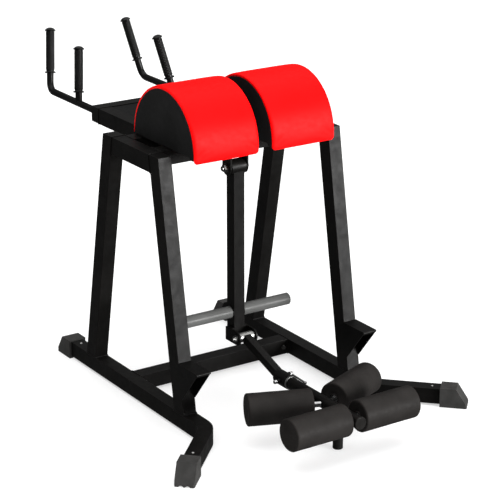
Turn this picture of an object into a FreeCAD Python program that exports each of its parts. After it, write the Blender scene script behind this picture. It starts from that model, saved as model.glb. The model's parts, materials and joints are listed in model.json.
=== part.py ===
"""Reverse hyperextension machine: two leaning side frames carry a deck with two half-round pads and
handles, and a pendulum with weight pins swings below it, pulling an arm with four foam ankle rollers.

Millimetres. +X is the user's right, +Y points to the handles, +Z is up. The origin is on the floor at
the centre of the machine's footprint box."""
import os

import FreeCAD
import Part
from math import atan, cos, radians, sin, sqrt, tan

from FreeCAD import Placement, Rotation, Vector

# ---- driving dimensions ----
WALL = 3.0

# floor rails
RAIL_X = 335.0            # rail centre from the middle plane
RAIL_WIDTH = 50.0
RAIL_BOTTOM = 8.0
RAIL_TOP = 63.0
RAIL_HEAD_END = 444.0     # y of the tube's end inside the head-side cap
BEND_START = -453.7       # y where the rail starts to turn outward
BEND_RADIUS = 90.0
FLARE_ANGLE = 45.0
FLARE_LENGTH = 251.0
SCREW_TO_END = 82.0       # from a tube's end to the screw that holds its cap

# rubber foot caps, measured from the tube's end, outward positive
CAP_BACK = -52.0
CAP_RIDGE = 3.0
CAP_TOE = 41.0
CAP_TOE_HEIGHT = 9.0
CAP_TOP = 68.0
CAP_WIDTH = 66.0
SOLE_GROOVE_SIDE = 11.0   # two grooves run along each sole, this far off its middle line
GROOVE_RADIUS = 9.0
GROOVE_DEPTH = 5.0

# side frames
FRAME_TOP = 911.5
UPRIGHT_DEPTH = 60.0
UPRIGHT_FRONT = (245.0, 86.0)     # y of the centre line at the rail and at the top
UPRIGHT_REAR = (-352.7, -213.8)
TOP_BEAM_HEIGHT = 60.0
SIDE_INNER = RAIL_X - RAIL_WIDTH / 2
SIDE_OUTER = RAIL_X + RAIL_WIDTH / 2

# base cross beam
BASE_BEAM_Y = 12.0
BASE_BEAM_DEPTH = 55.0
BASE_BOLT_X = 290.0
BASE_BOLT_Z = 35.0

# steps on the rear uprights
STEP_TOP = 240.0
STEP_LOW = 115.0
STEP_EDGE_Y = -468.0
STEP_SIDE = 2.0           # how far the cheeks stand outside the upright
LIP_RADIUS = 4.5

# deck
DECK_HALF_WIDTH = 219.0
DECK_HEAD = 450.0
DECK_HEIGHT = 56.0
TUBE = 50.0
BEAM_DEPTH = 60.0
FRONT_BEAM_Y = 23.5
REAR_BEAM_Y = -151.5
PLATE_DROP = 2.5

# pads
PAD_CENTRE_Y = -137.0
PAD_CENTRE_Z = 918.0
PAD_RADIUS = 197.5
PAD_INNER_X = 24.6
PAD_OUTER_X = 276.7
PAD_LIP_Z = 895.0
PAD_LIP_DEPTH = 18.0
PAD_RIM = 12.0
END_BOARD = 4.5
END_RECESS = 6.0
BASE_BOARD = 12.0

# handles
HANDLE_X = 196.5
HANDLE_Z = 886.5
HANDLE_RADIUS = 12.5
HANDLE_WALL = 2.0
HANDLE_BEND = 40.0
OUTER_CORNER_Y = 803.3
INNER_CORNER_Y = 584.5
LEAN_INWARD = 10.1        # degrees
LEAN_FORWARD = 15.0
OUTER_GRIP_START = 64.0   # from the arm's centre line, along the stem
INNER_GRIP_START = 38.0
GRIP_LENGTH = 167.0
GRIP_RADIUS = 16.0
GRIP_FLANGE = 20.0
FLANGE_LENGTH = 6.0
GRIP_TOP_WALL = 7.0

# pendulum
PIVOT_Y = -146.0
PIVOT_Z = 802.0
PIVOT_BOLT = 8.0
SLEEVE_RADIUS = 27.0
SLEEVE_HALF = 28.4
SLEEVE_BORE = 11.0
EAR_INNER = 30.0
EAR_THICK = 6.0
EAR_RADIUS = 26.0
POST_X = 43.0
POST_Y = 46.0
POST_BOTTOM = 181.0
BAR_Z = 282.0
BAR_RADIUS = 21.0
BAR_HALF = 217.0
BAR_WALL = 4.0

# lower clevis and arm
HINGE_Y = -205.0
HINGE_Z = 205.0
HINGE_BOLT = 6.0
CLEVIS_INNER = 30.0
CLEVIS_THICK = 6.0
CLEVIS_RADIUS = 24.0
CLEVIS_HEAD_Y = -136.0
HUB_RADIUS = 17.0
HUB_HALF = 28.2
HUB_BORE = 9.0
ARM_WIDTH = 25.0
ARM_HEIGHT = 30.0
ARM_WALL = 2.5
ARM_END_Y = -410.0
SLIDE_Z = 132.0
ARM_MEETS_SLIDE_Y = -429.0
INNER_RADIUS = 17.0
INNER_END_Y = -700.0

# sliding carriage
COLLAR_START = -412.0
COLLAR_END = -478.0
COLLAR_RADIUS = 25.0
CARRIAGE_RADIUS = 21.0
CARRIAGE_WALL = 3.0
CARRIAGE_START = -440.0
CARRIAGE_END = -867.0
CARRIAGE_CAP = 8.0
SLIDE_TRAVEL = 150.0
BUMPER_Y = -753.0
BUMPER_RADIUS = 17.0
BUMPER_TOP = 60.0
STEM_RADIUS = 12.0

# rollers
AXLE_RADIUS = 10.0
ROLLER_RADIUS = 54.5
ROLLER_LENGTH = 218.0
ROLLER_EDGE = 5.0
FRONT_AXLE_Y = -822.4
FRONT_ROLLER_START = 25.0
REAR_AXLE_Y = -684.8
REAR_SWEEP = 22.0
REAR_ROLLER_START = 47.5

# pull pin and clamp lever
PIN_Y = -448.0
PIN_RADIUS = 4.0
LEVER_Y = -430.0
LEVER_Z = 138.0
LEVER_LENGTH = 84.0

FIT = 0.04                # radial running clearance
X = Vector(1, 0, 0)
Y = Vector(0, 1, 0)
Z = Vector(0, 0, 1)


# ---- shape helpers ----
def box(x_range, y_range, z_range):
    low = Vector(min(x_range), min(y_range), min(z_range))
    high = Vector(max(x_range), max(y_range), max(z_range))
    size = high - low
    return Part.makeBox(size.x, size.y, size.z, low)


def hollow_box(x_range, y_range, z_range, wall=WALL):
    inner = [(min(pair) + wall, max(pair) - wall) for pair in (x_range, y_range, z_range)]
    return box(x_range, y_range, z_range).cut(box(*inner))


def prism_yz(points, x_low, x_high):
    corners = [Vector(x_low, y, z) for y, z in points]
    face = Part.Face(Part.makePolygon(corners + corners[:1]))
    return face.extrude(Vector(x_high - x_low, 0, 0))


def rod(start, end, radius):
    along = end - start
    return Part.makeCylinder(radius, along.Length, start, along)


def rod_x(radius, x_low, x_high, y, z):
    return rod(Vector(x_low, y, z), Vector(x_high, y, z), radius)


def rod_y(radius, y_low, y_high, z, x=0.0):
    return rod(Vector(x, y_low, z), Vector(x, y_high, z), radius)


def hexagon_x(radius, x_low, x_high, y, z):
    points = [(y + radius * cos(radians(60 * i)), z + radius * sin(radians(60 * i))) for i in range(6)]
    return prism_yz(points, x_low, x_high)


def mirrored(shape):
    return shape.mirror(Vector(0, 0, 0), X)


def fused(shapes):
    return shapes[0].multiFuse(shapes[1:]).removeSplitter()


def save(name, shape):
    shape.exportStep("parts/" + name + ".step")


def save_pair(name, right_shape):
    save(name + "_right", right_shape)
    save(name + "_left", mirrored(right_shape))


def save_group(name, shapes):
    save(name, Part.makeCompound(shapes))


# ---- floor rails, caps and screws ----
def rail_outline(inset):
    """The right rail's solid, its skin moved inward by inset."""
    half = RAIL_WIDTH / 2 - inset
    z_low, z_high = RAIL_BOTTOM + inset, RAIL_TOP - inset
    height = z_high - z_low
    straight = box((RAIL_X - half, RAIL_X + half), (BEND_START, RAIL_HEAD_END - inset), (z_low, z_high))
    centre = Vector(RAIL_X + BEND_RADIUS, BEND_START, z_low)
    ring = Part.makeCylinder(BEND_RADIUS + half, height, centre, Z, FLARE_ANGLE)
    ring = ring.cut(Part.makeCylinder(BEND_RADIUS - half, height, centre, Z, 360))
    ring.rotate(centre, Z, 180)
    flare = box((-half, half), (-FLARE_LENGTH + inset, 0), (z_low, z_high))
    flare.Placement = Placement(flare_start(), Rotation(Z, FLARE_ANGLE))
    return fused([straight, ring, flare])


def flare_start():
    turn = radians(FLARE_ANGLE)
    return Vector(RAIL_X + BEND_RADIUS * (1 - cos(turn)), BEND_START - BEND_RADIUS * sin(turn), 0)


def end_placements():
    """Where the right rail's two tube ends are: local +X points outward along the tube."""
    head = Placement(Vector(RAIL_X, RAIL_HEAD_END, 0), Rotation(Z, 90))
    outward = Vector(sin(radians(FLARE_ANGLE)), -cos(radians(FLARE_ANGLE)), 0)
    leg = Placement(flare_start() + outward * FLARE_LENGTH, Rotation(Z, FLARE_ANGLE - 90))
    return {"head": head, "leg": leg}


def foot_cap():
    outline = [(CAP_BACK, 0), (CAP_TOE, 0), (CAP_TOE, CAP_TOE_HEIGHT), (CAP_RIDGE, CAP_TOP), (CAP_BACK, CAP_TOP)]
    corners = [Vector(u, -CAP_WIDTH / 2, z) for u, z in outline]
    cap = Part.Face(Part.makePolygon(corners + corners[:1])).extrude(Y * CAP_WIDTH)
    upright = [e for e in cap.Edges if abs(e.BoundBox.XMin - CAP_TOE) < 1e-6 and e.BoundBox.YLength < 1e-6]
    cap = cap.makeFillet(6.0, upright)
    cap = cap.cut(box((CAP_BACK, 0), (-RAIL_WIDTH / 2, RAIL_WIDTH / 2), (RAIL_BOTTOM, RAIL_TOP)))
    for side in (-1, 1):
        across = side * SOLE_GROOVE_SIDE
        cap = cap.cut(rod_x(GROOVE_RADIUS, CAP_BACK, CAP_TOE, across, GROOVE_DEPTH - GROOVE_RADIUS))
    return cap


def foot_screw():
    head = Part.makeSphere(6.5, Vector(-SCREW_TO_END, 0, RAIL_TOP - 4.0))
    head = head.common(box((-SCREW_TO_END - 10, -SCREW_TO_END + 10), (-10, 10), (RAIL_TOP, RAIL_TOP + 10)))
    shank = Part.makeCylinder(2.5, 9.0, Vector(-SCREW_TO_END, 0, RAIL_TOP - 9.0))
    return fused([head, shank])


def placed(shape, placement):
    copy = shape.copy()
    copy.Placement = placement
    return copy


def make_rails():
    rail = rail_outline(0).cut(rail_outline(WALL))
    screws = []
    for end, placement in end_placements().items():
        screw = placed(foot_screw(), placement)
        rail = rail.cut(screw)
        screws += [screw, mirrored(screw)]
        save_pair("foot_cap_" + end, placed(foot_cap(), placement))
    save_pair("rail", rail)
    save_group("foot_screws", screws)


# ---- side frames ----
def upright_centre(ends, z):
    return ends[0] + (ends[1] - ends[0]) * (z - RAIL_TOP) / (FRAME_TOP - RAIL_TOP)


def upright_half(ends):
    lean = atan((ends[1] - ends[0]) / (FRAME_TOP - RAIL_TOP))
    return UPRIGHT_DEPTH / 2 / cos(lean)


def make_upright(name, ends):
    def outline(inset):
        half = upright_half(ends) - inset
        low, high = RAIL_TOP + inset, FRAME_TOP - inset
        return [(upright_centre(ends, z) + side * half, z) for z, side in ((low, -1), (low, 1), (high, 1), (high, -1))]

    tube = prism_yz(outline(0), SIDE_INNER, SIDE_OUTER)
    save_pair(name, tube.cut(prism_yz(outline(WALL), SIDE_INNER + WALL, SIDE_OUTER - WALL)))


def make_top_beam():
    def outline(inset):
        low, high = FRAME_TOP - TOP_BEAM_HEIGHT + inset, FRAME_TOP - inset
        rear = [(upright_centre(UPRIGHT_REAR, z) + upright_half(UPRIGHT_REAR) + inset, z) for z in (low, high)]
        head = [(upright_centre(UPRIGHT_FRONT, z) - upright_half(UPRIGHT_FRONT) - inset, z) for z in (high, low)]
        return rear + head

    beam = prism_yz(outline(0), SIDE_INNER, SIDE_OUTER)
    save_pair("top_beam", beam.cut(prism_yz(outline(WALL), SIDE_INNER + WALL, SIDE_OUTER - WALL)))


def make_base_beam():
    half = BASE_BEAM_DEPTH / 2
    beam = hollow_box((-SIDE_INNER, SIDE_INNER), (BASE_BEAM_Y - half, BASE_BEAM_Y + half), (RAIL_BOTTOM, RAIL_TOP))
    bolts = []
    for side in (-1, 1):
        for face in (-1, 1):
            start = Vector(side * BASE_BOLT_X, BASE_BEAM_Y + face * half, BASE_BOLT_Z)
            outward = Y * face
            washer = Part.makeCylinder(8.5, 1.6, start, outward)
            head = hexagon_x(7.2, 0, 5.3, 0, 0)
            head.Placement = Placement(start + outward * 1.6, Rotation(X, outward))
            shank = Part.makeCylinder(4.0, 10.0, start, outward * -1)
            bolts.append(fused([washer, head, shank]))
    for bolt in bolts:
        beam = beam.cut(bolt)
    save("base_cross_beam", beam)
    save_group("base_bolts", bolts)


def rear_face(z):
    return upright_centre(UPRIGHT_REAR, z) - upright_half(UPRIGHT_REAR)


def make_steps():
    sheet = WALL
    x_low, x_high = SIDE_INNER - STEP_SIDE, SIDE_OUTER + STEP_SIDE
    lip_low = STEP_TOP - 2 * LIP_RADIUS
    wedge = [(rear_face(STEP_TOP), STEP_TOP), (STEP_EDGE_Y, STEP_TOP), (STEP_EDGE_Y, lip_low),
             (rear_face(STEP_LOW), STEP_LOW)]
    under = STEP_TOP - sheet
    below = STEP_LOW - 40.0
    hollow = [(rear_face(under), under), (STEP_EDGE_Y + sheet, under), (STEP_EDGE_Y + sheet, below),
              (rear_face(below), below)]
    step = prism_yz(wedge, x_low, x_high).cut(prism_yz(hollow, x_low + sheet, x_high - sheet))
    lip = rod_x(LIP_RADIUS, x_low, x_high, STEP_EDGE_Y, STEP_TOP - LIP_RADIUS)
    save_pair("step", fused([step, lip]))


# ---- deck ----
def beam_span(centre):
    return centre - BEAM_DEPTH / 2, centre + BEAM_DEPTH / 2


def make_deck():
    rail_inner = DECK_HALF_WIDTH - TUBE
    front = beam_span(FRONT_BEAM_Y)
    rear = beam_span(REAR_BEAM_Y)
    beam_levels = (FRAME_TOP - TUBE, FRAME_TOP)
    save("front_cross_beam", hollow_box((-SIDE_INNER, SIDE_INNER), front, beam_levels))
    save("rear_cross_beam", hollow_box((-SIDE_INNER, SIDE_INNER), rear, beam_levels))
    levels = (FRAME_TOP - DECK_HEIGHT, FRAME_TOP)
    head = (DECK_HEAD - TUBE, DECK_HEAD)
    save("deck_head_tube", hollow_box((-DECK_HALF_WIDTH, DECK_HALF_WIDTH), head, levels))
    save_pair("deck_rail", hollow_box((rail_inner, DECK_HALF_WIDTH), (front[1], head[0]), levels))
    link = hollow_box((rail_inner, DECK_HALF_WIDTH), (rear[1], front[0]), levels)
    save_group("deck_links", [link, mirrored(link)])
    plate_top = FRAME_TOP - PLATE_DROP
    save("deck_plate", box((-rail_inner, rail_inner), (front[1], head[0]), (plate_top - WALL, plate_top)))


def make_pivot_ears():
    low = FRAME_TOP - TUBE
    x_high = EAR_INNER + EAR_THICK
    plate = box((EAR_INNER, x_high), (PIVOT_Y - EAR_RADIUS, PIVOT_Y + EAR_RADIUS), (PIVOT_Z, low))
    ear = fused([plate, rod_x(EAR_RADIUS, EAR_INNER, x_high, PIVOT_Y, PIVOT_Z)])
    ear = ear.cut(rod_x(PIVOT_BOLT, 0, x_high + 1, PIVOT_Y, PIVOT_Z))
    save_group("pivot_ears", [ear, mirrored(ear)])


def bolt_across(radius, outer_x, washer_radius, head_radius, y, z):
    """A bolt along X through a pair of ears: head at +X, nut and thread end at -X, washers under both."""
    washer = 2.5
    head = radius
    nut = 1.3 * radius
    tip = 0.7 * radius
    parts = [rod_x(radius, -outer_x - washer - nut - tip, outer_x + washer, y, z)]
    for side in (-1, 1):
        parts.append(rod_x(washer_radius, side * outer_x, side * (outer_x + washer), y, z))
    parts.append(hexagon_x(head_radius, outer_x + washer, outer_x + washer + head, y, z))
    parts.append(hexagon_x(head_radius, -outer_x - washer - nut, -outer_x - washer, y, z))
    return fused(parts)


# ---- pads ----
def pad_outline(x_low, x_high, inset):
    """Half-round section: flat below, curved above, with a lip that drops along the leg-side edge."""
    radius = PAD_RADIUS - inset
    head_y, leg_y = PAD_CENTRE_Y + radius, PAD_CENTRE_Y - radius
    lip_z = PAD_LIP_Z + inset
    arc = Part.Arc(Vector(x_low, head_y, PAD_CENTRE_Z), Vector(x_low, PAD_CENTRE_Y, PAD_CENTRE_Z + radius),
                   Vector(x_low, leg_y, PAD_CENTRE_Z)).toShape()
    base = FRAME_TOP + inset * 0.25
    corners = [(leg_y, PAD_CENTRE_Z), (leg_y, lip_z), (leg_y + PAD_LIP_DEPTH, lip_z),
               (leg_y + PAD_LIP_DEPTH + base - lip_z, base), (head_y, base), (head_y, PAD_CENTRE_Z)]
    points = [Vector(x_low, y, z) for y, z in corners]
    lines = [Part.LineSegment(a, b).toShape() for a, b in zip(points, points[1:])]
    face = Part.Face(Part.Wire([arc] + lines))
    return face.extrude(Vector(x_high - x_low, 0, 0))


def make_pads():
    pad = pad_outline(PAD_INNER_X, PAD_OUTER_X, 0)
    boards = []
    for x_low in (PAD_INNER_X, PAD_OUTER_X - END_RECESS):
        pad = pad.cut(pad_outline(x_low, x_low + END_RECESS, PAD_RIM))
    for x_low in (PAD_INNER_X + END_RECESS - END_BOARD, PAD_OUTER_X - END_RECESS):
        boards.append(pad_outline(x_low, x_low + END_BOARD, PAD_RIM))
    margin = PAD_RIM + END_RECESS
    base = box((PAD_INNER_X + margin, PAD_OUTER_X - margin),
               (PAD_CENTRE_Y - PAD_RADIUS + 2 * margin, PAD_CENTRE_Y + PAD_RADIUS - margin),
               (FRAME_TOP, FRAME_TOP + BASE_BOARD))
    pad = pad.cut(base)
    save_pair("pad", pad)
    save_group("pad_base_boards", [base, mirrored(base)])
    save_group("pad_end_boards", boards + [mirrored(board) for board in boards])


# ---- handles ----
def stem_direction():
    side = -tan(radians(LEAN_INWARD))
    forward = tan(radians(LEAN_FORWARD))
    return Vector(side, forward, 1).normalize()


def handle_path(start, corner, direction, length):
    """Straight run along +Y, one bend, then the leaning stem."""
    turn = Y.getAngle(direction)
    setback = HANDLE_BEND * tan(turn / 2)
    first = corner - Y * setback
    last = corner + direction * setback
    inward = (direction - Y).normalize()
    middle_from_corner = HANDLE_BEND / cos(turn / 2) - HANDLE_BEND
    middle = corner + inward * middle_from_corner
    return Part.Wire([Part.LineSegment(start, first).toShape(), Part.Arc(first, middle, last).toShape(),
                      Part.LineSegment(last, corner + direction * length).toShape()])


def swept(path, start, radius):
    circle = Part.Wire([Part.makeCircle(radius, start, Y)])
    return path.makePipeShell([circle], True, False)


def grip(start):
    tube = Part.makeCylinder(GRIP_RADIUS, GRIP_LENGTH - GRIP_TOP_WALL)
    low = Part.makeCylinder(GRIP_FLANGE, FLANGE_LENGTH)
    high = Part.makeCylinder(GRIP_FLANGE, FLANGE_LENGTH, Vector(0, 0, GRIP_LENGTH - GRIP_TOP_WALL - FLANGE_LENGTH))
    rise = GRIP_TOP_WALL
    sphere_radius = (GRIP_RADIUS ** 2 + rise ** 2) / (2 * rise)
    dome = Part.makeSphere(sphere_radius, Vector(0, 0, GRIP_LENGTH - sphere_radius))
    dome = dome.common(Part.makeCylinder(GRIP_RADIUS, rise, Vector(0, 0, GRIP_LENGTH - rise)))
    body = fused([tube, low, high, dome])
    body = body.cut(Part.makeCylinder(HANDLE_RADIUS, GRIP_LENGTH - GRIP_TOP_WALL))
    return placed(body, Placement(start, Rotation(Z, stem_direction())))


def make_handles():
    direction = stem_direction()
    start = Vector(HANDLE_X, DECK_HEAD, HANDLE_Z)
    outer_corner = Vector(HANDLE_X, OUTER_CORNER_Y, HANDLE_Z)
    inner_corner = Vector(HANDLE_X, INNER_CORNER_Y, HANDLE_Z)
    inner_top = inner_corner + direction * (INNER_GRIP_START + GRIP_LENGTH - GRIP_TOP_WALL)
    outer_length = OUTER_GRIP_START + GRIP_LENGTH - GRIP_TOP_WALL
    skins = []
    for radius in (HANDLE_RADIUS, HANDLE_RADIUS - HANDLE_WALL):
        arm = swept(handle_path(start, outer_corner, direction, outer_length), start, radius)
        skins.append(fused([arm, rod(inner_corner, inner_top, radius)]))
    save_pair("handle", skins[0].cut(skins[1]))
    save_pair("grip_outer", grip(outer_corner + direction * OUTER_GRIP_START))
    save_pair("grip_inner", grip(inner_corner + direction * INNER_GRIP_START))


# ---- pendulum ----
def flanged_bush(bore, body, flange, length, outer_x, flange_thick, y, z):
    """Bush on the +X side of a sleeve whose end is at outer_x."""
    solid = fused([rod_x(body, outer_x - length, outer_x, y, z),
                   rod_x(flange, outer_x, outer_x + flange_thick, y, z)])
    return solid.cut(rod_x(bore, outer_x - length - 1, outer_x + flange_thick + 1, y, z))


def make_pivot():
    sleeve = rod_x(SLEEVE_RADIUS, -SLEEVE_HALF, SLEEVE_HALF, PIVOT_Y, PIVOT_Z)
    save("pivot_sleeve", sleeve.cut(rod_x(SLEEVE_BORE, -SLEEVE_HALF, SLEEVE_HALF, PIVOT_Y, PIVOT_Z)))
    bush = flanged_bush(PIVOT_BOLT + FIT, SLEEVE_BORE, 16.0, 25.0, SLEEVE_HALF, 1.4, PIVOT_Y, PIVOT_Z)
    save_group("pivot_bushes", [bush, mirrored(bush)])
    save("pivot_bolt", bolt_across(PIVOT_BOLT, EAR_INNER + EAR_THICK, 15.0, 13.5, PIVOT_Y, PIVOT_Z))


def make_post():
    x_half = POST_X / 2
    head_y, leg_y = PIVOT_Y + POST_Y / 2, PIVOT_Y - POST_Y / 2
    post = box((-x_half, x_half), (leg_y, head_y), (POST_BOTTOM, PIVOT_Z))
    hollow = box((-x_half + WALL, x_half - WALL), (leg_y + WALL, head_y - WALL), (POST_BOTTOM + WALL, PIVOT_Z))
    post = post.cut(hollow).cut(rod_x(SLEEVE_RADIUS, -x_half, x_half, PIVOT_Y, PIVOT_Z))
    depth, top, corner = 40.0, 29.0, 8.0
    outline = [(head_y, BAR_Z + top), (head_y + depth / 2, BAR_Z + top - corner), (head_y + depth, BAR_Z - corner),
               (head_y + depth, BAR_Z - top + corner), (head_y + depth / 2, BAR_Z - top), (head_y, BAR_Z - top)]
    gusset = prism_yz(outline, -x_half, x_half)
    save("pendulum_post", fused([post, gusset]))


def make_weight_bar():
    x_low = POST_X / 2
    peg = rod_x(BAR_RADIUS, x_low, BAR_HALF, PIVOT_Y, BAR_Z)
    peg = peg.cut(rod_x(BAR_RADIUS - BAR_WALL, x_low, BAR_HALF - BAR_WALL, PIVOT_Y, BAR_Z))
    rim = [edge for edge in peg.Edges if abs(edge.BoundBox.XMin - BAR_HALF) < 1e-6 and edge.BoundBox.XLength < 1e-6]
    peg = peg.makeChamfer(1.5, rim)
    save_group("weight_bar", [peg, mirrored(peg)])


def make_clevis():
    leg_face = PIVOT_Y - POST_Y / 2
    outer = CLEVIS_INNER + CLEVIS_THICK
    low, high = HINGE_Z - CLEVIS_RADIUS, HINGE_Z + CLEVIS_RADIUS
    plate = box((CLEVIS_INNER, outer), (HINGE_Y, CLEVIS_HEAD_Y), (low, high))
    spacer = box((POST_X / 2, CLEVIS_INNER), (leg_face, CLEVIS_HEAD_Y), (low, high))
    ear = fused([plate, spacer, rod_x(CLEVIS_RADIUS, CLEVIS_INNER, outer, HINGE_Y, HINGE_Z)])
    ear = ear.cut(rod_x(HINGE_BOLT, 0, outer + 1, HINGE_Y, HINGE_Z))
    save_group("clevis_plates", [ear, mirrored(ear)])
    save("clevis_bolt", bolt_across(HINGE_BOLT, outer, 12.0, 10.5, HINGE_Y, HINGE_Z))


# ---- arm ----
def arm_outline(inset, end_y):
    slope = (HINGE_Z - SLIDE_Z) / (HINGE_Y - ARM_MEETS_SLIDE_Y)
    half = ARM_HEIGHT / 2 * sqrt(1 + slope ** 2) - inset
    end_z = HINGE_Z + (end_y - HINGE_Y) * slope
    return [(HINGE_Y, HINGE_Z - half), (HINGE_Y, HINGE_Z + half), (end_y, end_z + half), (end_y, end_z - half)]


def make_arm():
    half = ARM_WIDTH / 2
    arm = prism_yz(arm_outline(0, ARM_END_Y), -half, half)
    inner = prism_yz(arm_outline(ARM_WALL, ARM_END_Y + WALL), -half + ARM_WALL, half - ARM_WALL)
    arm = arm.cut(inner).cut(rod_x(HUB_RADIUS, -half, half, HINGE_Y, HINGE_Z))
    save("arm_tube", arm)
    hub = rod_x(HUB_RADIUS, -HUB_HALF, HUB_HALF, HINGE_Y, HINGE_Z)
    save("arm_hub", hub.cut(rod_x(HUB_BORE, -HUB_HALF, HUB_HALF, HINGE_Y, HINGE_Z)))
    bush = flanged_bush(HINGE_BOLT + FIT, HUB_BORE, 14.0, 20.0, HUB_HALF, 1.6, HINGE_Y, HINGE_Z)
    save_group("hub_bushes", [bush, mirrored(bush)])


def make_inner_tube():
    tube = rod_y(INNER_RADIUS, ARM_END_Y, INNER_END_Y, SLIDE_Z)
    tube = tube.cut(rod_y(INNER_RADIUS - WALL, ARM_END_Y - WALL, INNER_END_Y, SLIDE_Z))
    gap = 2.0
    slot_half = PIN_RADIUS + 0.3
    slot = box((-INNER_RADIUS - 1, -INNER_RADIUS + 2 * WALL),
               (PIN_Y - SLIDE_TRAVEL - PIN_RADIUS - gap, PIN_Y + PIN_RADIUS + gap),
               (SLIDE_Z - slot_half, SLIDE_Z + slot_half))
    save("inner_tube", tube.cut(slot))


# ---- carriage ----
def make_carriage():
    bore = CARRIAGE_RADIUS - CARRIAGE_WALL
    tube = rod_y(CARRIAGE_RADIUS, CARRIAGE_START, CARRIAGE_END, SLIDE_Z)
    stem_low = BUMPER_TOP / 3
    stem = rod(Vector(0, BUMPER_Y, stem_low), Vector(0, BUMPER_Y, SLIDE_Z), STEM_RADIUS)
    tube = fused([tube, stem]).cut(rod_y(bore, CARRIAGE_START, CARRIAGE_END, SLIDE_Z))
    tube = tube.cut(rod_x(PIN_RADIUS + FIT, -CARRIAGE_RADIUS - 1, 0, PIN_Y, SLIDE_Z))
    tube = tube.cut(rod_x(AXLE_RADIUS, -CARRIAGE_RADIUS - 1, CARRIAGE_RADIUS + 1, FRONT_AXLE_Y, SLIDE_Z))
    save("carriage_tube", tube)

    foot = rod(Vector(0, BUMPER_Y, 0), Vector(0, BUMPER_Y, BUMPER_TOP), BUMPER_RADIUS)
    rims = [edge for edge in foot.Edges if edge.BoundBox.ZLength < 1e-6]
    foot = foot.makeFillet(2.5, rims)
    save("bumper_foot", foot.cut(rod(Vector(0, BUMPER_Y, stem_low), Vector(0, BUMPER_Y, BUMPER_TOP), STEM_RADIUS)))

    cap = rod_y(CARRIAGE_RADIUS + 1.5, CARRIAGE_END, CARRIAGE_END - CARRIAGE_CAP, SLIDE_Z)
    rim = [edge for edge in cap.Edges if abs(edge.BoundBox.YMax - CARRIAGE_END + CARRIAGE_CAP) < 1e-6]
    cap = cap.makeFillet(3.0, rim)
    plug = rod_y(bore, CARRIAGE_END, CARRIAGE_END + 2 * CARRIAGE_CAP, SLIDE_Z)
    save("carriage_cap", fused([cap, plug]))


def make_collar():
    collar = rod_y(COLLAR_RADIUS, COLLAR_START, COLLAR_END, SLIDE_Z)
    pin_boss = rod_x(8.0, -COLLAR_RADIUS - 7.0, 0, PIN_Y, SLIDE_Z)
    lever_boss = rod_x(8.0, 0, COLLAR_RADIUS + 6.0, LEVER_Y, LEVER_Z)
    collar = fused([collar, pin_boss, lever_boss])
    collar = collar.cut(rod_y(CARRIAGE_RADIUS, COLLAR_START, COLLAR_END, SLIDE_Z))
    collar = collar.cut(rod_x(PIN_RADIUS + FIT, -COLLAR_RADIUS - 8.0, 0, PIN_Y, SLIDE_Z))
    collar = collar.cut(rod_x(PIN_RADIUS + FIT, 0, COLLAR_RADIUS + 7.0, LEVER_Y, LEVER_Z))
    save("slide_collar", collar)

    bush = rod_y(CARRIAGE_RADIUS, COLLAR_START, CARRIAGE_START, SLIDE_Z)
    save("collar_bush", bush.cut(rod_y(INNER_RADIUS + FIT, COLLAR_START, CARRIAGE_START, SLIDE_Z)))

    ring_end = COLLAR_END - 9.0
    ring = rod_y(CARRIAGE_RADIUS + 2.5, COLLAR_END, ring_end, SLIDE_Z)
    save("collar_ring", ring.cut(rod_y(CARRIAGE_RADIUS, COLLAR_END, ring_end, SLIDE_Z)))


def make_pull_pin():
    boss_end = COLLAR_RADIUS + 7.0
    tip = INNER_RADIUS - 2.5
    pin = rod_x(PIN_RADIUS, -boss_end - 2.0, -tip, PIN_Y, SLIDE_Z)
    knob = rod_x(7.0, -boss_end - 13.0, -boss_end - 1.0, PIN_Y, SLIDE_Z)
    rims = [edge for edge in knob.Edges if edge.BoundBox.XLength < 1e-6]
    save("pull_pin", fused([pin, knob.makeFillet(3.0, rims)]))


def make_clamp_lever():
    boss_end = COLLAR_RADIUS + 6.0
    hub_x = boss_end + 0.4
    screw = rod_x(PIN_RADIUS, COLLAR_RADIUS - 2.0, hub_x, LEVER_Y, LEVER_Z)
    hub = rod_x(7.5, hub_x, hub_x + 10.0, LEVER_Y, LEVER_Z)
    start = Vector(hub_x + 5.0, LEVER_Y, LEVER_Z)
    end = start + Vector(0, -LEVER_LENGTH, -3.0)
    rod_part = rod(start, end, 3.5)
    save("clamp_lever", fused([screw, hub, rod_part, Part.makeSphere(5.5, end)]))


# ---- axles and rollers ----
def roller(placement):
    """Foam roller on its core, bored from one end; local +X runs outward from that end."""
    foam = Part.makeCylinder(ROLLER_RADIUS, ROLLER_LENGTH, Vector(0, 0, 0), X)
    rims = [edge for edge in foam.Edges if edge.BoundBox.XLength < 1e-6]
    foam = foam.makeFillet(ROLLER_EDGE, rims)
    foam = foam.cut(Part.makeCylinder(AXLE_RADIUS + FIT, ROLLER_LENGTH - 6.0, Vector(0, 0, 0), X))
    return placed(foam, placement)


def axle(start, direction, washer_at, length):
    shaft = rod(start, start + direction * length, AXLE_RADIUS)
    washer = rod(start + direction * (washer_at - 4.0), start + direction * (washer_at - 0.4), AXLE_RADIUS + 5.0)
    return fused([shaft, washer])


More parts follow.
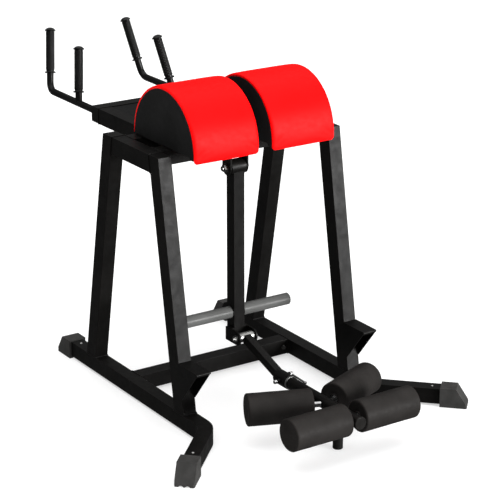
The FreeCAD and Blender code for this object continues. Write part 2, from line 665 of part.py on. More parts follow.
def make_rollers():
    body = rod_y(CARRIAGE_RADIUS, CARRIAGE_START, CARRIAGE_END, SLIDE_Z)
    tip_gap = 8.0
    front = Vector(0, FRONT_AXLE_Y, SLIDE_Z)
    right = axle(front, X, FRONT_ROLLER_START, FRONT_ROLLER_START + ROLLER_LENGTH - tip_gap)
    save("front_axle", fused([right, mirrored(right)]))
    save_pair("roller_front", roller(Placement(front + X * FRONT_ROLLER_START, Rotation())))

    rear = Vector(0, REAR_AXLE_Y, SLIDE_Z)
    along = Vector(cos(radians(REAR_SWEEP)), sin(radians(REAR_SWEEP)), 0)
    stub = axle(rear, along, REAR_ROLLER_START, REAR_ROLLER_START + ROLLER_LENGTH - tip_gap).cut(body)
    save_group("rear_axles", [stub, mirrored(stub)])
    save_pair("roller_rear", roller(Placement(rear + along * REAR_ROLLER_START, Rotation(Z, REAR_SWEEP))))


def main():
    os.makedirs("parts", exist_ok=True)
    make_rails()
    make_upright("front_upright", UPRIGHT_FRONT)
    make_upright("rear_upright", UPRIGHT_REAR)
    make_top_beam()
    make_base_beam()
    make_steps()
    make_deck()
    make_pivot_ears()
    make_pads()
    make_handles()
    make_pivot()
    make_post()
    make_weight_bar()
    make_clevis()
    make_arm()
    make_inner_tube()
    make_carriage()
    make_collar()
    make_pull_pin()
    make_clamp_lever()
    make_rollers()


main()
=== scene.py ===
"""Looks of the reverse hyperextension machine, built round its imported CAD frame. Metres, +Z up."""

import json
import math

import bmesh
import bpy
import numpy as np
from mathutils import Matrix, Vector, noise


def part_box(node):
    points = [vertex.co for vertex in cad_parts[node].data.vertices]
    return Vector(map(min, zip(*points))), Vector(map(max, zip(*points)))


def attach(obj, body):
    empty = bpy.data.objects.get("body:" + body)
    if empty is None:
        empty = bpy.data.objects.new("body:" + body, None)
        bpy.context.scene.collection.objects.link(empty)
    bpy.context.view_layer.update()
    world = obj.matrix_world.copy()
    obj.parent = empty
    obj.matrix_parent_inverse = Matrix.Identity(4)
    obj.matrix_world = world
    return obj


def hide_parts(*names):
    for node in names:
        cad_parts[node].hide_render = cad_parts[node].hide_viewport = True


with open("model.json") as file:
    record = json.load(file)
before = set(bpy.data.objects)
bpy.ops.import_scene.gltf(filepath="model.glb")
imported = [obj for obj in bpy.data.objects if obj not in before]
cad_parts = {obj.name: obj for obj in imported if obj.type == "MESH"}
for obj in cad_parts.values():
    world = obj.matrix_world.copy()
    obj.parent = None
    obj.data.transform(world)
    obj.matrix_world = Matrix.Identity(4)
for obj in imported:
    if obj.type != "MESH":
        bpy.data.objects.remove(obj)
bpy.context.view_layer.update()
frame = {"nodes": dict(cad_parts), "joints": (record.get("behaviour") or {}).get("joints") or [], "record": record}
nodes = frame["nodes"]
record = frame["record"]
joints = {joint["name"]: joint for joint in frame["joints"]}
SIDES = ("left", "right")
MM = 0.001
LEVEL_TOLERANCE = 0.01 * MM  # points this close in height are on the same face


# ---- node-based materials ----
class Surface:
    """A Principled material whose colour, roughness and relief come from procedural textures."""

    def __init__(self, name, roughness, metallic=0.0, specular=0.5):
        self.material = bpy.data.materials.new(name)
        self.material.use_nodes = True
        self.tree = self.material.node_tree
        self.shader = self.tree.nodes["Principled BSDF"]
        self.shader.inputs["Roughness"].default_value = roughness
        self.shader.inputs["Metallic"].default_value = metallic
        self.shader.inputs["Specular IOR Level"].default_value = specular
        self.place = self.add("ShaderNodeTexCoord", {}).outputs["Object"]
        self.relief = None

    def add(self, kind, inputs, **settings):
        """Adds a node, links the inputs that are sockets and sets the others."""
        node = self.tree.nodes.new(kind)
        for key, value in settings.items():
            setattr(node, key, value)
        for key, value in inputs.items():
            if isinstance(value, bpy.types.NodeSocket):
                self.tree.links.new(value, node.inputs[key])
            else:
                node.inputs[key].default_value = value
        return node

    def noise(self, scale, detail=3.0, distortion=0.0, stretch=None):
        place = self.place
        if stretch:
            place = self.add("ShaderNodeMapping", {"Vector": place, "Scale": stretch}).outputs["Vector"]
        values = {"Vector": place, "Scale": scale, "Detail": detail, "Distortion": distortion}
        return self.add("ShaderNodeTexNoise", values).outputs["Fac"]

    def cells(self, scale):
        """Distance to the borders of small cells, as on grained leather."""
        values = {"Vector": self.place, "Scale": scale}
        return self.add("ShaderNodeTexVoronoi", values, feature="DISTANCE_TO_EDGE").outputs["Distance"]

    def color(self, factor, dark, light):
        ramp = self.add("ShaderNodeValToRGB", {"Fac": factor})
        for stop, position, color in zip(ramp.color_ramp.elements, (0.35, 0.65), (dark, light)):
            stop.position = position
            stop.color = (*color, 1.0)
        self.tree.links.new(ramp.outputs["Color"], self.shader.inputs["Base Color"])

    def rough(self, factor, low, high):
        values = {"Value": factor, "From Min": 0.3, "From Max": 0.7, "To Min": low, "To Max": high}
        mapped = self.add("ShaderNodeMapRange", values).outputs["Result"]
        self.tree.links.new(mapped, self.shader.inputs["Roughness"])

    def bump(self, height, depth, strength):
        """Adds relief of that depth in metres on top of what is there."""
        values = {"Height": height, "Distance": depth, "Strength": strength}
        if self.relief:
            values["Normal"] = self.relief
        self.relief = self.add("ShaderNodeBump", values).outputs["Normal"]
        self.tree.links.new(self.relief, self.shader.inputs["Normal"])


def powder_coat(name, dark, light, roughness):
    """Paint baked from powder: a fine grain over a faint orange peel."""
    surface = Surface(name, roughness, specular=0.10)
    surface.color(surface.noise(scale=9.0, detail=4.0), dark, light)
    surface.rough(surface.noise(scale=40.0, detail=5.0), low=roughness - 0.06, high=roughness + 0.08)
    surface.bump(surface.noise(scale=900.0, detail=2.0), depth=0.10 * MM, strength=0.5)
    surface.bump(surface.noise(scale=120.0, detail=2.0), depth=0.12 * MM, strength=0.35)
    return surface.material


def vinyl(name, dark, light, roughness, grain, specular):
    """Leathercloth: grain cells over slow waves."""
    surface = Surface(name, roughness, specular=specular)
    surface.color(surface.noise(scale=7.0), dark, light)
    surface.rough(surface.noise(scale=60.0, detail=4.0), low=roughness - 0.05, high=roughness + 0.05)
    surface.bump(surface.cells(grain), depth=0.15 * MM, strength=0.35)
    surface.bump(surface.noise(scale=22.0), depth=0.6 * MM, strength=0.25)
    return surface.material


def foam(name, dark, light):
    """Dense foam: open pores over a slightly uneven skin."""
    surface = Surface(name, roughness=0.55, specular=0.06)
    surface.color(surface.noise(scale=14.0, detail=5.0), dark, light)
    surface.rough(surface.noise(scale=90.0, detail=4.0), low=0.50, high=0.64)
    surface.bump(surface.noise(scale=700.0, detail=4.0), depth=0.25 * MM, strength=0.5)
    surface.bump(surface.noise(scale=45.0, detail=2.0), depth=0.6 * MM, strength=0.3)
    return surface.material


def rubber(name, dark, light, roughness, specular):
    surface = Surface(name, roughness, specular=specular)
    surface.color(surface.noise(scale=26.0, detail=5.0), dark, light)
    surface.rough(surface.noise(scale=80.0, detail=4.0), low=roughness - 0.08, high=roughness + 0.1)
    surface.bump(surface.noise(scale=1400.0), depth=0.12 * MM, strength=0.55)
    return surface.material


def plated(name, dark, light, roughness, stretch):
    """Bright metal with fine turning or drawing marks along one direction."""
    surface = Surface(name, roughness, metallic=1.0)
    marks = surface.noise(scale=500.0, stretch=stretch)
    surface.color(surface.noise(scale=60.0, detail=5.0), dark, light)
    surface.rough(marks, low=roughness - 0.06, high=roughness + 0.08)
    surface.bump(marks, depth=0.04 * MM, strength=0.4)
    return surface.material


def nylon(name):
    surface = Surface(name, roughness=0.45, specular=0.45)
    surface.color(surface.noise(scale=50.0), dark=(0.50, 0.50, 0.47), light=(0.62, 0.62, 0.58))
    surface.bump(surface.noise(scale=1200.0, detail=2.0), depth=0.05 * MM, strength=0.4)
    return surface.material


def plywood(name):
    surface = Surface(name, roughness=0.65, specular=0.3)
    plies = surface.noise(scale=30.0, detail=2.0, distortion=0.4, stretch=(0.6, 0.6, 24.0))
    surface.color(plies, dark=(0.20, 0.11, 0.05), light=(0.42, 0.27, 0.14))
    surface.bump(plies, depth=0.3 * MM, strength=0.4)
    return surface.material


def grey(value):
    return (value, value, value)


def make_materials():
    """One material for each material slot of the record."""
    return {
        "frame_black": powder_coat("frame_powder", (0.0024, 0.0022, 0.0020), (0.0040, 0.0037, 0.0034),
                                   roughness=0.42),
        "handle_black": powder_coat("handle_powder", grey(0.0030), grey(0.0050), roughness=0.36),
        "step_black": powder_coat("step_powder", (0.0020, 0.0019, 0.0018), (0.0034, 0.0033, 0.0031),
                                  roughness=0.42),
        "deck_sheet": powder_coat("sheet_powder", grey(0.0012), grey(0.0022), roughness=0.50),
        "weight_grey": powder_coat("pin_enamel", (0.068, 0.069, 0.067), (0.088, 0.089, 0.087),
                                   roughness=0.34),
        "zinc": plated("zinc_plate", (0.22, 0.22, 0.215), (0.33, 0.33, 0.32), roughness=0.36,
                       stretch=(1.0, 6.0, 6.0)),
        "bright_steel": plated("chromed_steel", grey(0.24), grey(0.34), roughness=0.24,
                               stretch=(1.0, 4.0, 4.0)),
        "nylon": nylon("nylon_bush"),
        "feet_rubber": rubber("foot_rubber", (0.028, 0.0275, 0.0265), (0.038, 0.037, 0.036),
                              roughness=0.60, specular=0.08),
        "bumper_rubber": rubber("bumper_rubber", (0.005, 0.005, 0.0045), (0.008, 0.008, 0.0075),
                                roughness=0.42, specular=0.10),
        "cap_plastic": rubber("cap_plastic", (0.005, 0.0045, 0.004), (0.008, 0.0073, 0.0066),
                              roughness=0.45, specular=0.10),
        "pin_grey": plated("knob_metal", grey(0.36), grey(0.52), roughness=0.30, stretch=(1.0, 3.0, 3.0)),
        "grip_rubber": rubber("grip_rubber", grey(0.002), grey(0.004), roughness=0.34, specular=0.14),
        "foam": foam("roller_foam", (0.0125, 0.0113, 0.0106), (0.0170, 0.0154, 0.0145)),
        "pad_red": vinyl("red_vinyl", (0.84, 0.0006, 0.0010), (0.95, 0.0012, 0.0018),
                         roughness=0.50, grain=420.0, specular=0.05),
        "board_black": vinyl("black_vinyl", grey(0.0100), grey(0.0140),
                             roughness=0.60, grain=500.0, specular=0.06),
        "plywood": plywood("pad_plywood"),
    }


# ---- carried-over CAD nodes: material, rounded edges ----
EDGE_ROUNDING = {  # millimetres, by material slot
    "frame_black": 1.1, "step_black": 0.8, "deck_sheet": 0.6, "weight_grey": 0.8, "zinc": 0.6,
    "feet_rubber": 3.0, "board_black": 1.2, "plywood": 0.8, "nylon": 0.3,
}
FINE_NODES = ("pivot_sleeve", "arm_hub", "slide_collar", "carriage_tube", "collar_ring", "clevis_plates",
              "pivot_ears")
FINE_ROUNDING = 0.8  # millimetres


def soften_edges(obj, width_mm):
    """Joins the CAD faces' edges and rounds the sharp ones, by modifiers only."""
    weld = obj.modifiers.new("weld", "WELD")
    weld.merge_threshold = 0.01 * MM
    bevel = obj.modifiers.new("rounding", "BEVEL")
    bevel.width = width_mm * MM
    bevel.segments = 3
    bevel.limit_method = "ANGLE"
    bevel.angle_limit = math.radians(40)
    bevel.use_clamp_overlap = True  # narrow faces keep a smaller rounding
    normals = obj.modifiers.new("normals", "WEIGHTED_NORMAL")
    normals.keep_sharp = False


def dress_nodes(materials):
    """Gives each CAD node its slot's material and rounded edges."""
    for part in record["subparts"]:
        node, slot = part["node"], part["material_slot"]
        obj = nodes[node]
        obj.data.materials.clear()
        obj.data.materials.append(materials[slot])
        width = FINE_ROUNDING if node in FINE_NODES else EDGE_ROUNDING.get(slot)
        if width:
            soften_edges(obj, width)


# ---- mesh helpers ----
def new_piece(name, vertices, faces, body, material):
    """A smooth mesh piece that rides on a body and takes its finish from a slot."""
    mesh = bpy.data.meshes.new(name)
    mesh.from_pydata([tuple(v) for v in vertices], [], faces)
    mesh.validate()
    mesh.materials.append(material)
    obj = bpy.data.objects.new(name, mesh)
    bpy.context.scene.collection.objects.link(obj)
    outward_normals(obj)
    mesh.shade_smooth()
    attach(obj, body)
    return obj


def outward_normals(obj):
    bm = bmesh.new()
    bm.from_mesh(obj.data)
    bmesh.ops.recalc_face_normals(bm, faces=bm.faces)
    bm.to_mesh(obj.data)
    bm.free()


def loft(rings, closed_path=False):
    """Vertices and faces of a skin over rings of the same length, capped unless the path is closed."""
    count = len(rings[0])
    vertices = [point for ring in rings for point in ring]
    faces = []
    spans = len(rings) if closed_path else len(rings) - 1
    for i in range(spans):
        here, there = i * count, (i + 1) % len(rings) * count
        for j in range(count):
            k = (j + 1) % count
            faces.append((here + j, here + k, there + k, there + j))
    if not closed_path:
        faces.append(tuple(range(count)))
        faces.append(tuple((len(rings) - 1) * count + j for j in reversed(range(count))))
    return vertices, faces


def turned(profile, segments, radius_at=None):
    """Rings about +Z for a profile of (z, radius); radius_at(z, radius, angle) may shape them."""
    rings = []
    for z, radius in profile:
        ring = []
        for i in range(segments):
            angle = math.tau * i / segments
            r = radius_at(z, radius, angle) if radius_at else radius
            ring.append(Vector((r * math.cos(angle), r * math.sin(angle), z)))
        rings.append(ring)
    return rings


def along(direction, origin):
    """Matrix that takes +Z to direction and the origin to origin."""
    return Matrix.Translation(origin) @ direction.to_track_quat("Z", "Y").to_matrix().to_4x4()


def moved(vertices, matrix):
    return [matrix @ v for v in vertices]


# ---- foam rollers ----
ROLLER_LENGTH = 218 * MM
ROLLER_SEGMENTS = 96
ROLLER_STEPS = 26
SHOULDER = 6 * MM
SHOULDER_STEPS = 7
HUB_RADIUS = 17 * MM
HUB_PROUD = 0.8 * MM
HUB_BORE = 10.6 * MM
BORE_DEPTH = 12 * MM
SEAM_DEPTH = 2.6 * MM
SEAM_WIDTH = 0.8 * MM
FOAM_START = HUB_RADIUS + 2 * MM
FOAM_LIP = 3 * MM
END_DISH = 1.2 * MM
SKIN_WAVE = 0.35 * MM
WAVES_PER_METRE = 30
TIP = 1 * MM  # radius of the last ring of a turned piece


def roller_profile(radius):
    """(z, radius) from the bore at the inner end, over the foam, to the closed outer end."""
    hub = [(BORE_DEPTH, HUB_BORE), (HUB_PROUD, HUB_BORE), (0.0, HUB_BORE + HUB_PROUD),
           (0.0, HUB_RADIUS - HUB_PROUD), (HUB_PROUD, HUB_RADIUS)]
    seam = [(SEAM_DEPTH, HUB_RADIUS), (SEAM_DEPTH, HUB_RADIUS + SEAM_WIDTH)]
    inner_face = [(END_DISH + HUB_PROUD, FOAM_START), (END_DISH * 0.6 + HUB_PROUD, 0.6 * radius),
                  (HUB_PROUD, radius - SHOULDER - FOAM_LIP)]
    start, end = SHOULDER + HUB_PROUD, ROLLER_LENGTH - SHOULDER
    skin = [(start + (end - start) * i / ROLLER_STEPS, radius) for i in range(1, ROLLER_STEPS)]
    face = ROLLER_LENGTH - END_DISH
    outer_face = [(ROLLER_LENGTH - END_DISH / 3, 0.75 * radius), (face, 0.5 * radius), (face, 0.25 * radius),
                  (face, TIP)]
    body = shoulder(start, radius, -1) + skin + shoulder(end, radius, 1)
    return hub + seam + inner_face + body + outer_face


def shoulder(z, radius, side):
    """The foam's rounded shoulder: side -1 climbs from the end face, +1 goes down to it."""
    points = []
    for i in range(SHOULDER_STEPS + 1):
        angle = math.pi / 2 * i / SHOULDER_STEPS
        reach, drop = SHOULDER * math.sin(angle), SHOULDER * (1 - math.cos(angle))
        points.append((z + side * reach, radius - drop))
    return points if side > 0 else points[::-1]


def make_roller(name, material):
    """Foam sleeve with a hub at its inner end and a skin that is slightly uneven."""
    low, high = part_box(name)
    radius = (high.z - low.z) / 2
    joint = joints[name + "_spin"]
    direction = Vector(joint["axis"]).normalized()
    centre = (low + high) / 2
    place = along(direction, centre - direction * ROLLER_LENGTH / 2)
    vertices, faces = loft(turned(roller_profile(radius), ROLLER_SEGMENTS))
    offset = Vector((len(name), 0, 0))
    shaped = []
    for vertex in vertices:
        out = Vector((vertex.x, vertex.y, 0))
        if out.length > FOAM_START:
            wave = noise.noise(vertex * WAVES_PER_METRE + offset) * SKIN_WAVE
            vertex = vertex + out.normalized() * (wave - SKIN_WAVE)
        shaped.append(vertex)
    piece = new_piece("foam_" + name, moved(shaped, place), faces, body_of(name), material)
    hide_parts(name)


def body_of(node):
    """The body whose list in the record holds this node."""
    for body, members in record["behaviour"]["bodies"].items():
        if node in members:
            return body
    raise ValueError(node)


# ---- hand grips ----
GRIP_BORE = 12.7 * MM
GRIP_BORE_DEPTH = 8 * MM
GRIP_CORE = 14.3 * MM
GRIP_SEGMENTS = 96
RING_PITCH = 0.95 * MM
RING_GAP = 0.6 * MM
FLANGE_RADIUS = 20.0 * MM
FLANGE_THICKNESS = 5 * MM
FLANGE_EDGE = 1.2 * MM
FLANGE_FILLET = 1 * MM
TOP_HEIGHT = 13 * MM  # the top flange and the dome on it
DOME_INSET = 4 * MM
DOME_STEPS = 8
KNOB_PITCH = 10.0 * MM
KNOBS_ROUND = 8
KNOB_HEIGHT = 2.6 * MM
KNOB_FADE = 2 * MM
KNOBS_START = 10 * MM
KNOBS_STOP = 15 * MM  # from the top
KNOB_BLUNTNESS = 0.5  # power of the wave: the smaller, the flatter the knobs' tops


def node_axis(obj, upward):
    """Centre line of a round CAD node: its lowest end point, unit direction and length."""
    points = np.array([v.co[:] for v in obj.data.vertices])
    middle = points.mean(axis=0)
    spread = np.linalg.svd(points - middle, full_matrices=False)[2]
    direction = Vector(spread[0])
    if direction.dot(upward) < 0:
        direction = -direction
    reach = (points - middle) @ np.array(direction)
    start = Vector(middle) + direction * float(reach.min())
    return start, direction, float(reach.max() - reach.min())


def knurl(length):
    """Radius of the grip's skin: two interleaved sets of raised knobs between the flanges."""
    def radius_at(z, radius, angle):
        inside = min(z - KNOBS_START, length - KNOBS_STOP - z)
        if inside <= 0 or radius != GRIP_CORE:
            return radius
        fade = min(1.0, inside / KNOB_FADE)
        wave = math.cos(math.tau * z / KNOB_PITCH) * math.cos(KNOBS_ROUND * angle)
        return radius + KNOB_HEIGHT * fade * max(0.0, wave) ** KNOB_BLUNTNESS
    return radius_at


def flange_rim(start):
    """(z, radius) over the rounded rim of a flange that starts at this height."""
    end = start + FLANGE_THICKNESS
    return [(start, FLANGE_RADIUS - FLANGE_EDGE), (start + FLANGE_EDGE, FLANGE_RADIUS),
            (end - FLANGE_EDGE, FLANGE_RADIUS), (end, FLANGE_RADIUS - FLANGE_EDGE)]


def grip_profile(length):
    """(z, radius) from the open lower end up to the domed top."""
    neck = GRIP_CORE + FLANGE_FILLET
    top_flange = length - TOP_HEIGHT
    skin_length = top_flange - FLANGE_THICKNESS
    steps = round(skin_length / RING_PITCH)
    profile = [(GRIP_BORE_DEPTH, GRIP_BORE), (0, GRIP_BORE), *flange_rim(0), (FLANGE_THICKNESS, neck)]
    for i in range(steps + 1):
        profile.append((FLANGE_THICKNESS + RING_GAP + (skin_length - 2 * RING_GAP) * i / steps, GRIP_CORE))
    profile += [(top_flange, neck), *flange_rim(top_flange)]
    dome_start = top_flange + FLANGE_THICKNESS
    for i in range(1, DOME_STEPS):
        angle = math.pi / 2 * i / DOME_STEPS
        profile.append((dome_start + (length - dome_start) * math.sin(angle),
                        (FLANGE_RADIUS - DOME_INSET) * math.cos(angle)))
    profile.append((length, TIP))
    return profile


def make_grip(name, material):
    """Rubber grip with a flange at each end, along the stem that its CAD node sits on."""
    start, direction, length = node_axis(nodes[name], Vector((0, 0, 1)))
    vertices, faces = loft(turned(grip_profile(length), GRIP_SEGMENTS, knurl(length)))
    place = along(direction, start)
    piece = new_piece("rubber_" + name, moved(vertices, place), faces, "frame", material)
    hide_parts(name)


# ---- pads: a thick padded sheet bent over end boards ----
PAD_SHEET = 13.0 * MM
PAD_CLEARANCE = 0.5 * MM
SHEET_EDGE = 6.0 * MM
SHEET_EDGE_STEPS = 6
ACROSS_STEPS = 44
ALONG_STEPS = 110
CORNER_ROUND = 10.0 * MM
CORNER_STEPS = 7
FIRST_STATION = 0.1 * MM
SWELL = 3.5 * MM
SIDE_SWELL = 0.3 * SWELL
CROWN = 1.5 * MM
VOXEL = 4.5 * MM
CLOTH_FRAMES = 20
BOARD_OVERLAP = 2 * MM


def pad_path(low, high):
    """Points (y, z), their outward normals and their distance from the nearer end of the bent sheet."""
    radius = (high.y - low.y) / 2 - PAD_CLEARANCE
    centre_y = (low.y + high.y) / 2
    centre_z = high.z - (high.y - low.y) / 2
    head_drop = centre_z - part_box("pad_base_boards")[0].z
    leg_drop = centre_z - low.z
    total = head_drop + math.pi * radius + leg_drop
    ends = [FIRST_STATION]
    for i in range(1, CORNER_STEPS + 1):
        ends.append(CORNER_ROUND * (1 - math.cos(math.pi / 2 * i / CORNER_STEPS)))
    middle = [CORNER_ROUND + (total - 2 * CORNER_ROUND) * i / ALONG_STEPS for i in range(1, ALONG_STEPS)]
    stations = []
    for s in ends + middle + [total - d for d in reversed(ends)]:
        if s < head_drop:
            point, normal = (centre_y + radius, centre_z - head_drop + s), (1.0, 0.0)
        elif s > total - leg_drop:
            point, normal = (centre_y - radius, centre_z - (s - total + leg_drop)), (-1.0, 0.0)
        else:
            angle = (s - head_drop) / radius
            normal = (math.cos(angle), math.sin(angle))
            point = (centre_y + radius * normal[0], centre_z + radius * normal[1])
        stations.append((point, normal, min(s, total - s)))
    return stations


def sheet_section(width):
    """The sheet's cross-section: (across, out) points, out 0 on the skin and negative inwards."""
    section = []
    corners = [(width - SHEET_EDGE, -SHEET_EDGE), (SHEET_EDGE, -SHEET_EDGE),
               (SHEET_EDGE, SHEET_EDGE - PAD_SHEET), (width - SHEET_EDGE, SHEET_EDGE - PAD_SHEET)]
    for quarter, (across, out) in enumerate(corners):
        for i in range(SHEET_EDGE_STEPS + 1):
            angle = math.pi / 2 * (quarter + i / SHEET_EDGE_STEPS)
            section.append((across + SHEET_EDGE * math.cos(angle), out + SHEET_EDGE * math.sin(angle)))
        if quarter in (0, 2):
            start, out = section[-1]
            end = corners[quarter + 1][0]
            section += [(start + (end - start) * i / ACROSS_STEPS, out) for i in range(1, ACROSS_STEPS)]
    return section


def pad_mesh(low, high):
    """The sheet's section carried along its path, with rounded ends and a slight crown."""
    width = high.x - low.x - 2 * SIDE_SWELL
    section = sheet_section(width)
    half = PAD_SHEET / 2
    rings = []
    for (y, z), (ny, nz), distance in pad_path(low, high):
        inset = thin = 0.0
        if distance < CORNER_ROUND:
            inset = CORNER_ROUND - math.sqrt(CORNER_ROUND ** 2 - (CORNER_ROUND - distance) ** 2)
        if distance < half:
            thin = 1 - math.sqrt(1 - (1 - distance / half) ** 2)
        ring = []
        for across, out in section:
            sideways = (across - width / 2) * (1 - 2 * inset / width)
            lift = -half + (out + half) * (1 - thin) - CROWN * abs(2 * sideways / width) ** 4
            ring.append(Vector(((low.x + high.x) / 2 + sideways, y + ny * lift, z + nz * lift)))
        rings.append(ring)
    return loft(rings)


def inflate(obj, is_held):
    """Remeshes the sheet, lets cloth pressure swell its skin, and keeps each point within SWELL.

    is_held(point) is true where the sheet is fixed to the boards under it.
    """
    remesh = obj.modifiers.new("remesh", "REMESH")
    remesh.mode = "VOXEL"
    remesh.voxel_size = VOXEL
    bake_modifiers(obj)
    start = positions(obj)
    pins = obj.vertex_groups.new(name="pins")
    pins.add([i for i, point in enumerate(start) if is_held(point)], 1.0, "REPLACE")
    cloth = obj.modifiers.new("cloth", "CLOTH")
    cloth.settings.vertex_group_mass = "pins"
    cloth.settings.use_pressure = True
    cloth.settings.uniform_pressure_force = 4.0
    cloth.settings.tension_stiffness = 20
    cloth.settings.bending_stiffness = 1.0
    cloth.settings.effector_weights.gravity = 0
    cloth.point_cache.frame_start = 1
    cloth.point_cache.frame_end = CLOTH_FRAMES
    scene = bpy.context.scene
    for number in range(1, CLOTH_FRAMES + 1):
        scene.frame_set(number)
    swollen = positions(obj.evaluated_get(bpy.context.evaluated_depsgraph_get()))
    obj.modifiers.remove(cloth)
    scene.frame_set(1)
    shift = swollen - start
    length = np.linalg.norm(shift, axis=1, keepdims=True)
    shift *= np.minimum(1.0, SWELL / np.maximum(length, 1e-9))
    obj.data.vertices.foreach_set("co", (start + shift).ravel())
    obj.data.update()
    smooth = obj.modifiers.new("smooth", "SMOOTH")
    smooth.factor = 0.5
    smooth.iterations = 6
    obj.modifiers.new("fine", "SUBSURF").levels = 1
    bake_modifiers(obj)
    obj.vertex_groups.clear()


def positions(obj):
    values = np.empty(len(obj.data.vertices) * 3)
    obj.data.vertices.foreach_get("co", values)
    return values.reshape(-1, 3)


def bake_modifiers(obj):
    graph = bpy.context.evaluated_depsgraph_get()
    mesh = bpy.data.meshes.new_from_object(obj.evaluated_get(graph))
    obj.modifiers.clear()
    obj.data = mesh
    mesh.shade_smooth()


def make_pads(material):
    """The right cover, swollen by cloth pressure, and its mirror image on the left."""
    low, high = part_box("pad_right")
    outer_radius = (high.y - low.y) / 2
    centre_y, centre_z = (low.y + high.y) / 2, high.z - outer_radius
    inner_radius = outer_radius - PAD_SHEET + BOARD_OVERLAP

    def is_inner(point):
        return math.hypot(point[1] - centre_y, max(0.0, point[2] - centre_z)) < inner_radius

    vertices, faces = pad_mesh(low, high)
    right = new_piece("cover_pad_right", vertices, faces, "frame", material)
    inflate(right, is_inner)
    mesh = right.data.copy()
    mesh.transform(Matrix.Scale(-1, 4, (1, 0, 0)))
    mesh.flip_normals()
    left = bpy.data.objects.new("cover_pad_left", mesh)
    bpy.context.scene.collection.objects.link(left)
    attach(left, "frame")
    for side, piece in zip(SIDES, (left, right)):
        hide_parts("pad_" + side)


# ---- weld beads ----
HANDLE_TUBE = 12.5 * MM
EAR_HALF = 3 * MM
BEAD = 2.6 * MM
BEAD_SIDES = 8
RIPPLE_PITCH = 4.0 * MM
POINTS_PER_RIPPLE = 3
RIPPLE = 0.35 * MM
UNEVENNESS = 90  # waves per metre


def resampled(corners, pitch):
    """Points every pitch along a closed outline."""
    points = []
    for a, b in zip(corners, corners[1:] + corners[:1]):
        steps = max(1, round((b - a).length / pitch))
        points += [a.lerp(b, i / steps) for i in range(steps)]
    return points


def bead(corners):
    """Skin of a rippled weld bead round a closed outline."""
    points = resampled(corners, RIPPLE_PITCH / POINTS_PER_RIPPLE)
    centre = sum(points, Vector()) / len(points)
    normal = (points[0] - centre).cross(points[len(points) // 4] - centre).normalized()
    rings = []
    for i, point in enumerate(points):
        tangent = (points[(i + 1) % len(points)] - points[i - 1]).normalized()
        across = tangent.cross(normal).normalized()
        wave = math.cos(math.tau * i / POINTS_PER_RIPPLE) + noise.noise(point * UNEVENNESS)
        radius = BEAD + RIPPLE * wave
        angles = [math.tau * k / BEAD_SIDES for k in range(BEAD_SIDES)]
        rings.append([point + (across * math.cos(a) + normal * math.sin(a)) * radius for a in angles])
    return loft(rings, closed_path=True)


def rectangle(centre, u, v):
    return [centre + u + v, centre - u + v, centre - u - v, centre + u - v]


def circle(centre, u, v, count=40):
    angles = [math.tau * i / count for i in range(count)]
    return [centre + u * math.cos(a) + v * math.sin(a) for a in angles]


def mirror(points):
    return [Vector((-p.x, p.y, p.z)) for p in points]


def middle_and_half(low, high):
    return (low + high) / 2, (high - low) / 2


def along_x(length):
    return Vector((length, 0, 0))


def along_y(length):
    return Vector((0, length, 0))


def along_z(length):
    return Vector((0, 0, length))


def upright_weld(node):
    """Outline of an upright's foot on its rail."""
    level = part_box("rail_right")[1].z
    foot = [v.co for v in nodes[node].data.vertices if abs(v.co.z - level) < LEVEL_TOLERANCE]
    low = Vector((min(p.x for p in foot), min(p.y for p in foot), level))
    high = Vector((max(p.x for p in foot), max(p.y for p in foot), level))
    centre, half = middle_and_half(low, high)
    return rectangle(centre, along_x(half.x), along_y(half.y))


def end_outline(node, furthest):
    """Corners of a level tube's end face, which may lean: furthest picks the end along Y."""
    low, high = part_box(node)
    points = [v.co for v in nodes[node].data.vertices]
    corners = []
    for z, xs in ((low.z, (low.x, high.x)), (high.z, (high.x, low.x))):
        y = furthest(p.y for p in points if abs(p.z - z) < LEVEL_TOLERANCE)
        corners += [Vector((x, y, z)) for x in xs]
    return corners


def frame_welds():
    """Weld outlines of the right half of the frame."""
    outlines = [upright_weld("front_upright_right"), upright_weld("rear_upright_right")]
    for node in ("front_cross_beam", "rear_cross_beam", "base_cross_beam"):
        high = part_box(node)[1]
        centre, half = middle_and_half(*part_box(node))
        outlines.append(rectangle(Vector((high.x, centre.y, centre.z)), along_y(half.y), along_z(half.z)))
    low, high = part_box("deck_rail_right")
    centre, half = middle_and_half(low, high)
    for y in (low.y, high.y):
        outlines.append(rectangle(Vector((centre.x, y, centre.z)), along_x(half.x), along_z(half.z)))
    low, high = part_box("pivot_ears")
    centre, half = middle_and_half(low, high)
    ear = Vector((high.x - EAR_HALF, centre.y, high.z))
    outlines.append(rectangle(ear, along_x(EAR_HALF), along_y(half.y)))
    low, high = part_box("handle_right")
    arm = Vector((high.x - HANDLE_TUBE, low.y, low.z + HANDLE_TUBE))
    outlines.append(circle(arm, along_x(HANDLE_TUBE), along_z(HANDLE_TUBE)))
    return outlines + [end_outline("top_beam_right", min), end_outline("top_beam_right", max)]


def pendulum_welds():
    """Weld outline of the weight bar on the right face of its post."""
    centre, half = middle_and_half(*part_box("weight_bar"))
    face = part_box("pendulum_post")[1].x
    return [circle(Vector((face, centre.y, centre.z)), along_y(half.y), along_z(half.z))]


def make_welds(name, body, outlines, material):
    """One piece that holds a bead round each outline and round its mirror image."""
    vertices, faces = [], []
    for outline in outlines + [mirror(points) for points in outlines]:
        bead_vertices, bead_faces = bead(outline)
        offset = len(vertices)
        vertices += bead_vertices
        faces += [tuple(index + offset for index in face) for face in bead_faces]
    new_piece(name, vertices, faces, body, material)


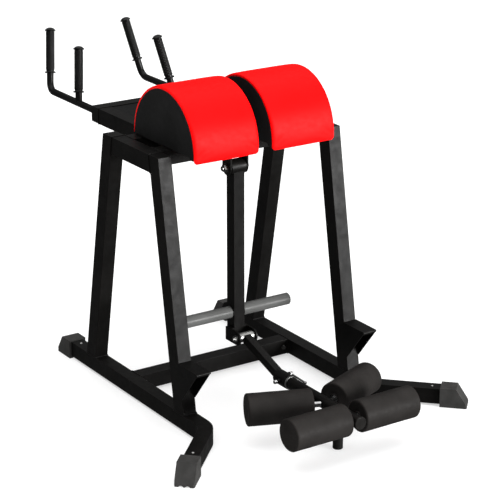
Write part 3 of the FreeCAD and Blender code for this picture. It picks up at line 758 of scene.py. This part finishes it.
# ---- stage, lights, camera ----
FLOOR_REACH = 40.0
FLOOR_DROP = 0.5 * MM
FLOOR_GLOW = 0.55
HORIZON = 0.05
CEILING = 2.8
SKY_START, SKY_END = 0.55, 0.90
KEY_FROM = (0.50, -0.85, 0.14)  # direction that the key light comes from
KEY_STRENGTH = 6.4
KEY_SPREAD = 24  # degrees
AZIMUTH, ELEVATION = -33.412, 19.385  # degrees
CAMERA_PLACE = (-3.3523, -5.3167, 2.6717)
LENS, SENSOR = 137.8, 36.0  # millimetres


def make_stage():
    """A pale floor that glows a little, so that shadows on it stay faint."""
    r = FLOOR_REACH
    mesh = bpy.data.meshes.new("floor")
    mesh.from_pydata([(-r, -r, 0), (r, -r, 0), (r, r, 0), (-r, r, 0)], [], [(0, 1, 2, 3)])
    floor = bpy.data.objects.new("floor", mesh)
    bpy.context.scene.collection.objects.link(floor)
    surface = Surface("floor_white", roughness=0.9, specular=0.0)
    surface.color(surface.noise(scale=2.0), grey(0.50), grey(0.52))
    surface.shader.inputs["Emission Color"].default_value = (1.0, 1.0, 1.0, 1.0)
    surface.shader.inputs["Emission Strength"].default_value = FLOOR_GLOW
    mesh.materials.append(surface.material)
    floor.location.z = -FLOOR_DROP
    floor.visible_glossy = False  # so that dark steel doesn't mirror it


def make_sky():
    """A studio sky that brightens from a dim horizon to a bright ceiling."""
    world = bpy.data.worlds.new("studio")
    world.use_nodes = True
    tree = world.node_tree
    place = tree.nodes.new("ShaderNodeTexCoord")
    height = tree.nodes.new("ShaderNodeSeparateXYZ")
    ramp = tree.nodes.new("ShaderNodeValToRGB")
    for stop, position, brightness in zip(ramp.color_ramp.elements, (SKY_START, SKY_END), (HORIZON, 1.0)):
        stop.position = position
        stop.color = (*grey(brightness), 1.0)
    tree.links.new(place.outputs["Generated"], height.inputs["Vector"])
    tree.links.new(height.outputs["Z"], ramp.inputs["Fac"])
    tree.links.new(ramp.outputs["Color"], tree.nodes["Background"].inputs["Color"])
    tree.nodes["Background"].inputs["Strength"].default_value = CEILING
    bpy.context.scene.world = world
    bpy.context.scene.view_settings.view_transform = "Standard"


def aim(obj, back):
    """Puts a lamp or camera into the scene, looking away from the direction back."""
    obj.rotation_mode = "QUATERNION"
    obj.rotation_quaternion = (-back).to_track_quat("-Z", "Y")
    bpy.context.scene.collection.objects.link(obj)


def make_key_light():
    data = bpy.data.lights.new("key", "SUN")
    data.energy = KEY_STRENGTH
    data.angle = math.radians(KEY_SPREAD)
    aim(bpy.data.objects.new("key", data), Vector(KEY_FROM))


def make_camera():
    azimuth, elevation = math.radians(AZIMUTH), math.radians(ELEVATION)
    data = bpy.data.cameras.new("camera")
    data.sensor_width = SENSOR
    data.lens = LENS
    data.clip_end = 100.0
    camera = bpy.data.objects.new("camera", data)
    camera.location = CAMERA_PLACE
    level = math.cos(elevation)
    aim(camera, Vector((math.sin(azimuth) * level, -math.cos(azimuth) * level, math.sin(elevation))))
    bpy.context.scene.camera = camera


materials = make_materials()
dress_nodes(materials)
for side in SIDES:
    for place in ("front", "rear"):
        make_roller(f"roller_{place}_{side}", materials["foam"])
    for place in ("outer", "inner"):
        make_grip(f"grip_{place}_{side}", materials["grip_rubber"])
make_pads(materials["pad_red"])
make_welds("weld_beads_frame", "frame", frame_welds(), materials["frame_black"])
make_welds("weld_beads_pendulum", "pendulum", pendulum_welds(), materials["frame_black"])
make_stage()
make_sky()
make_key_light()
make_camera()
